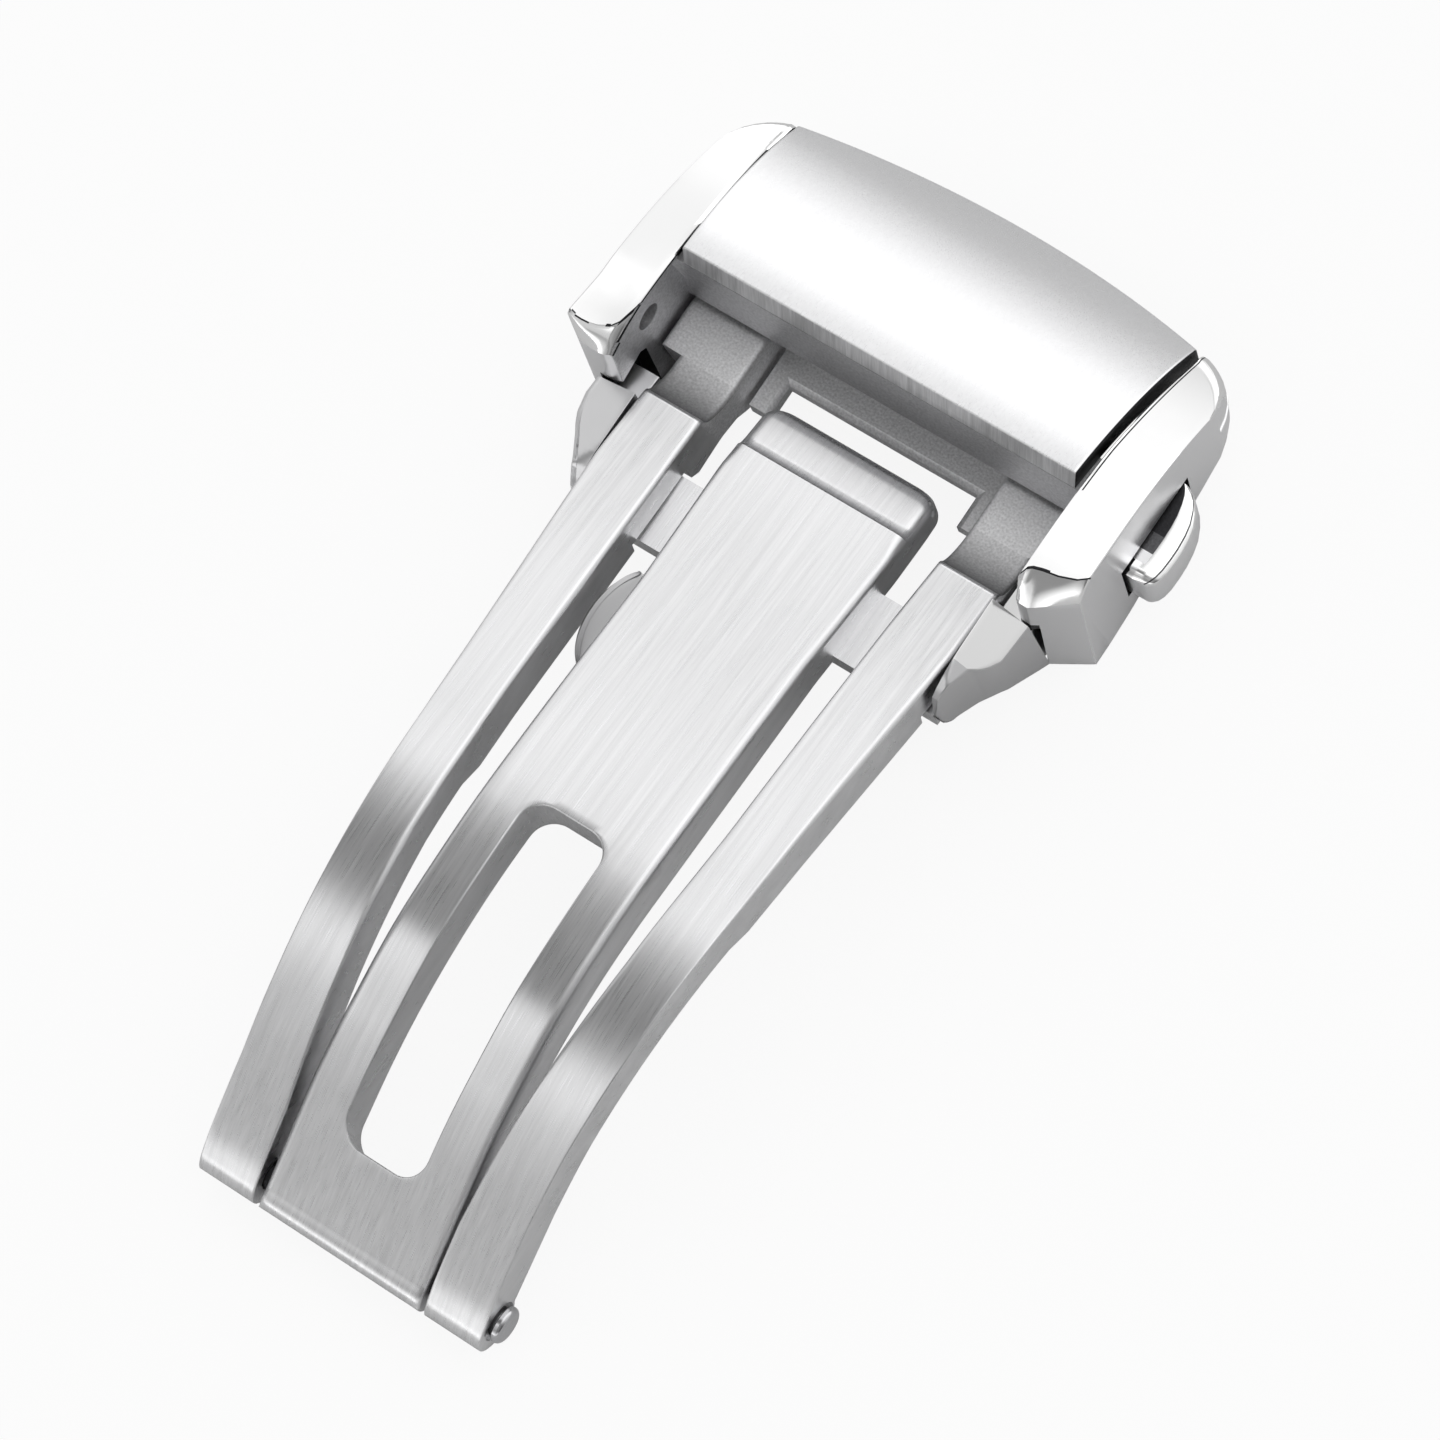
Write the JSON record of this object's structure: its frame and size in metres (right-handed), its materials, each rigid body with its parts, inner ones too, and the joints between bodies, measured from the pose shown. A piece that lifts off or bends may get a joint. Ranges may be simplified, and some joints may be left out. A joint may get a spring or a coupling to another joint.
{
  "type": "deployant clasp",
  "caption": "Closed deployant clasp for a leather watch strap: curved slotted blade, two fork arms on a fold pin, and a covered head with two side pushers.",
  "frame": {"origin": "middle of the footprint, at the level of the fold roll's underside", "axes": "+X across the clasp to the side of the pin head, +Y from the fold roll to the head, +Z away from the wrist"},
  "size_m": [0.025, 0.0466, 0.0081],
  "materials": {
    "blade_steel": "brushed along the strap",
    "polished_steel": "mirror polished stainless",
    "head_steel": "fine satin",
    "pin_steel": "turned",
    "spring_steel": "rolled spring strip"
  },
  "bodies": {
    "blade": {"centre_blade": "blade_steel", "cross_bar": "blade_steel", "ear_left": "polished_steel", "ear_right": "polished_steel", "ear_rivets": "pin_steel", "side_lug": "polished_steel", "fold_pin": "pin_steel"},
    "fork": {"arm_left": "blade_steel", "arm_right": "blade_steel", "fork_bridge": "blade_steel", "hinge_pins": "pin_steel"},
    "head": {"cover_plate": "blade_steel", "head_block": "head_steel", "cheek_left": "polished_steel", "cheek_right": "polished_steel", "cover_screws": "pin_steel", "cheek_pins": "pin_steel", "spring_left": "spring_steel", "spring_right": "spring_steel"},
    "pusher_l": {"pusher_left": "polished_steel", "latch_left": "head_steel", "latch_screw_left": "pin_steel"},
    "pusher_r": {"pusher_right": "polished_steel", "latch_right": "head_steel", "latch_screw_right": "pin_steel"}
  },
  "joints": [
    {"name": "fold_hinge", "type": "hinge", "parent": "blade", "child": "fork", "pos_m": [0, -0.022, 0.0013], "axis": [1, 0, 0], "range_deg": [0, 170]},
    {"name": "head_hinge", "type": "hinge", "parent": "fork", "child": "head", "pos_m": [0, 0.0139, 0.0027], "axis": [1, 0, 0], "range_deg": [-85, 0]},
    {"name": "pusher_left_slide", "type": "slide", "parent": "head", "child": "pusher_l", "axis": [1, 0, 0], "range_m": [0, 0.0008], "stiffness_N_per_m": 800, "deforming": ["spring_left"]},
    {"name": "pusher_right_slide", "type": "slide", "parent": "head", "child": "pusher_r", "axis": [-1, 0, 0], "range_m": [0, 0.0008], "stiffness_N_per_m": 800, "deforming": ["spring_right"]}
  ],
  "couplings": [
    {"joint": "head_hinge", "follows": "fold_hinge", "ratio": -0.5}
  ]
}
